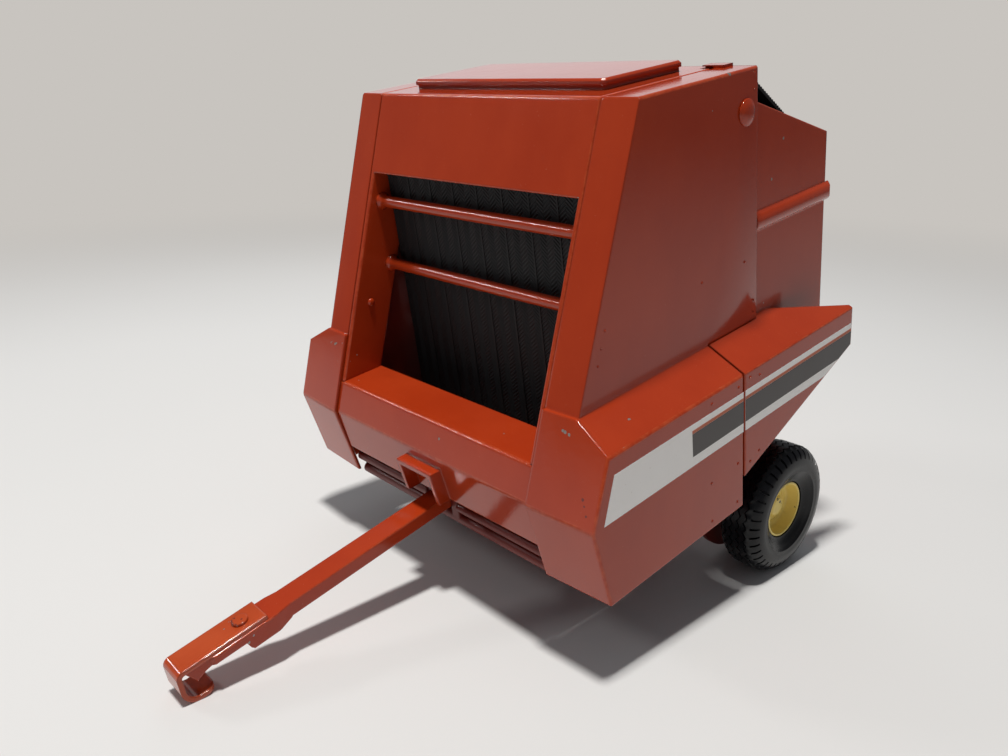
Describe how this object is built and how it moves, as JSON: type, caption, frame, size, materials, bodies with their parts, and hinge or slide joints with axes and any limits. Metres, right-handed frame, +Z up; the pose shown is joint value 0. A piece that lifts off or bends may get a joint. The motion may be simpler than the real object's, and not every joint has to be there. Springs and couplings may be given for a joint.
{
  "type": "round baler",
  "caption": "Die-cast toy round baler with a rubber belt behind a barred feed opening, a hinged tailgate, shields, two wheels and a drawbar with a hook.",
  "frame": {"origin": "on the floor, under the middle of the toy's overall length and width", "axes": "+X to the machine's right-hand side, +Y to the rear, +Z up; the drawbar points to -Y"},
  "size_m": [0.1698, 0.2454, 0.1857],
  "materials": {
    "casting_paint": "gloss orange-red enamel over zinc die-casting, worn on the edges",
    "inner_paint": "dark red enamel inside and below the body",
    "belt_rubber": "matt moulded rubber sheet",
    "dark_plastic": "matt black",
    "bare_steel": "plain steel wire",
    "rim_plastic": "dull yellow",
    "tyre_rubber": "black rubber"
  },
  "bodies": {
    "chassis": {"hood": "casting_paint", "sill": "casting_paint", "side_right": "casting_paint", "side_left": "casting_paint", "liner_right": "inner_paint", "liner_left": "inner_paint", "belly": "inner_paint", "pickup_rod_right": "inner_paint", "pickup_rod_left": "inner_paint", "belt_front": "belt_rubber", "roller_front": "dark_plastic", "roller_crest": "dark_plastic", "drawbar": "casting_paint", "hook": "casting_paint", "hook_rivet": "casting_paint", "pivot_rivet_right": "casting_paint", "pivot_rivet_left": "casting_paint", "axle": "bare_steel", "guide_bar_upper": "casting_paint", "guide_bar_lower": "casting_paint"},
    "tailgate": {"gate_wall_right": "casting_paint", "gate_wall_left": "casting_paint", "gate_rear": "casting_paint", "gate_tube": "casting_paint", "belt_rear": "belt_rubber"},
    "wheel_right": {"rim_right": "rim_plastic", "tyre_right": "tyre_rubber"},
    "wheel_left": {"rim_left": "rim_plastic", "tyre_left": "tyre_rubber"}
  },
  "joints": [
    {"name": "tailgate_hinge", "type": "hinge", "parent": "chassis", "child": "tailgate", "pos_m": [0, 0.05487, 0.16977], "axis": [1, 0, 0], "range_deg": [0, 56]},
    {"name": "wheel_right_spin", "type": "hinge", "parent": "chassis", "child": "wheel_right", "pos_m": [0, 0.08315, 0.025], "axis": [1, 0, 0], "continuous": true},
    {"name": "wheel_left_spin", "type": "hinge", "parent": "chassis", "child": "wheel_left", "pos_m": [0, 0.08315, 0.025], "axis": [1, 0, 0], "continuous": true}
  ]
}
